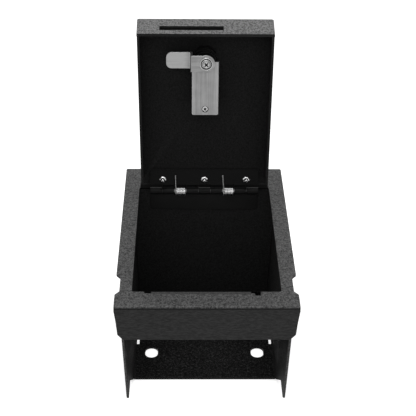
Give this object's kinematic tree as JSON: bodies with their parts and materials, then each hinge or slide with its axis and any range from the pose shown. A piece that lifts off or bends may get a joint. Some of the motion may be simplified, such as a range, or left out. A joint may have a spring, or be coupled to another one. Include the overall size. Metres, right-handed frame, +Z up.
{
  "type": "console safe",
  "caption": "Folded-steel console safe: open-front box under a notched top frame, sprung hinged lid with a cranked cam lock and number wheels",
  "frame": {"origin": "on the floor plate's underside, in the middle of the box's width, 150 mm behind the skirt's face", "axes": "+Z up, -Y out of the front with the skirt, +X to the right seen from the front"},
  "size_m": [0.1876, 0.2852, 0.3531],
  "materials": {
    "black_coat": "black textured powder coat",
    "black_steel": "smooth black finish",
    "spring_steel": "bright plated spring wire",
    "zinc_plate": "brushed, zinc plated",
    "dark_casting": "satin black casting"
  },
  "bodies": {
    "safe_box": {"top_frame": "black_coat", "side_wall_left": "black_coat", "side_wall_right": "black_coat", "back_wall": "black_coat", "floor_plate": "black_coat", "hinge_leaf_body": "black_steel", "hinge_pin": "zinc_plate", "torsion_spring_left": "spring_steel", "torsion_spring_right": "spring_steel"},
    "lid": {"lid_pan": "black_coat", "hinge_leaf_lid": "black_steel", "left_leaf_nut": "zinc_plate", "middle_leaf_nut": "zinc_plate", "right_leaf_nut": "zinc_plate", "lock_body": "dark_casting", "lock_plate": "zinc_plate", "lock_plate_screw": "zinc_plate", "dial_housing": "dark_casting", "dial_axle": "zinc_plate"},
    "lock_turn": {"lock_spindle": "zinc_plate", "lock_cam": "zinc_plate", "cam_washer": "zinc_plate", "cam_screw": "zinc_plate", "lock_knob": "zinc_plate"},
    "dial_1": {"dial_wheel_1": "dark_casting"},
    "dial_2": {"dial_wheel_2": "dark_casting"},
    "dial_3": {"dial_wheel_3": "dark_casting"},
    "dial_4": {"dial_wheel_4": "dark_casting"}
  },
  "joints": [
    {"name": "lid_hinge", "type": "hinge", "parent": "safe_box", "child": "lid", "pos_m": [0, 0.0842, 0.1512], "axis": [1, 0, 0], "range_deg": [0, 99.1], "stiffness_Nm_per_rad": 0.35, "springref_deg": -34.38, "deforming": ["torsion_spring_left", "torsion_spring_right"]},
    {"name": "knob_turn", "type": "hinge", "parent": "lid", "child": "lock_turn", "pos_m": [0.0007, 0.10114, 0.31194], "axis": [0, 0.9874, -0.1582], "range_deg": [0, 90]},
    {"name": "dial_1_spin", "type": "hinge", "parent": "lid", "child": "dial_1", "pos_m": [-0.0002, 0.10887, 0.28437], "axis": [0, -0.1582, -0.9874], "continuous": true},
    {"name": "dial_2_spin", "type": "hinge", "parent": "lid", "child": "dial_2", "pos_m": [-0.0002, 0.10735, 0.27489], "axis": [0, -0.1582, -0.9874], "continuous": true},
    {"name": "dial_3_spin", "type": "hinge", "parent": "lid", "child": "dial_3", "pos_m": [-0.0002, 0.10584, 0.26542], "axis": [0, -0.1582, -0.9874], "continuous": true},
    {"name": "dial_4_spin", "type": "hinge", "parent": "lid", "child": "dial_4", "pos_m": [-0.0002, 0.10432, 0.25594], "axis": [0, -0.1582, -0.9874], "continuous": true}
  ]
}
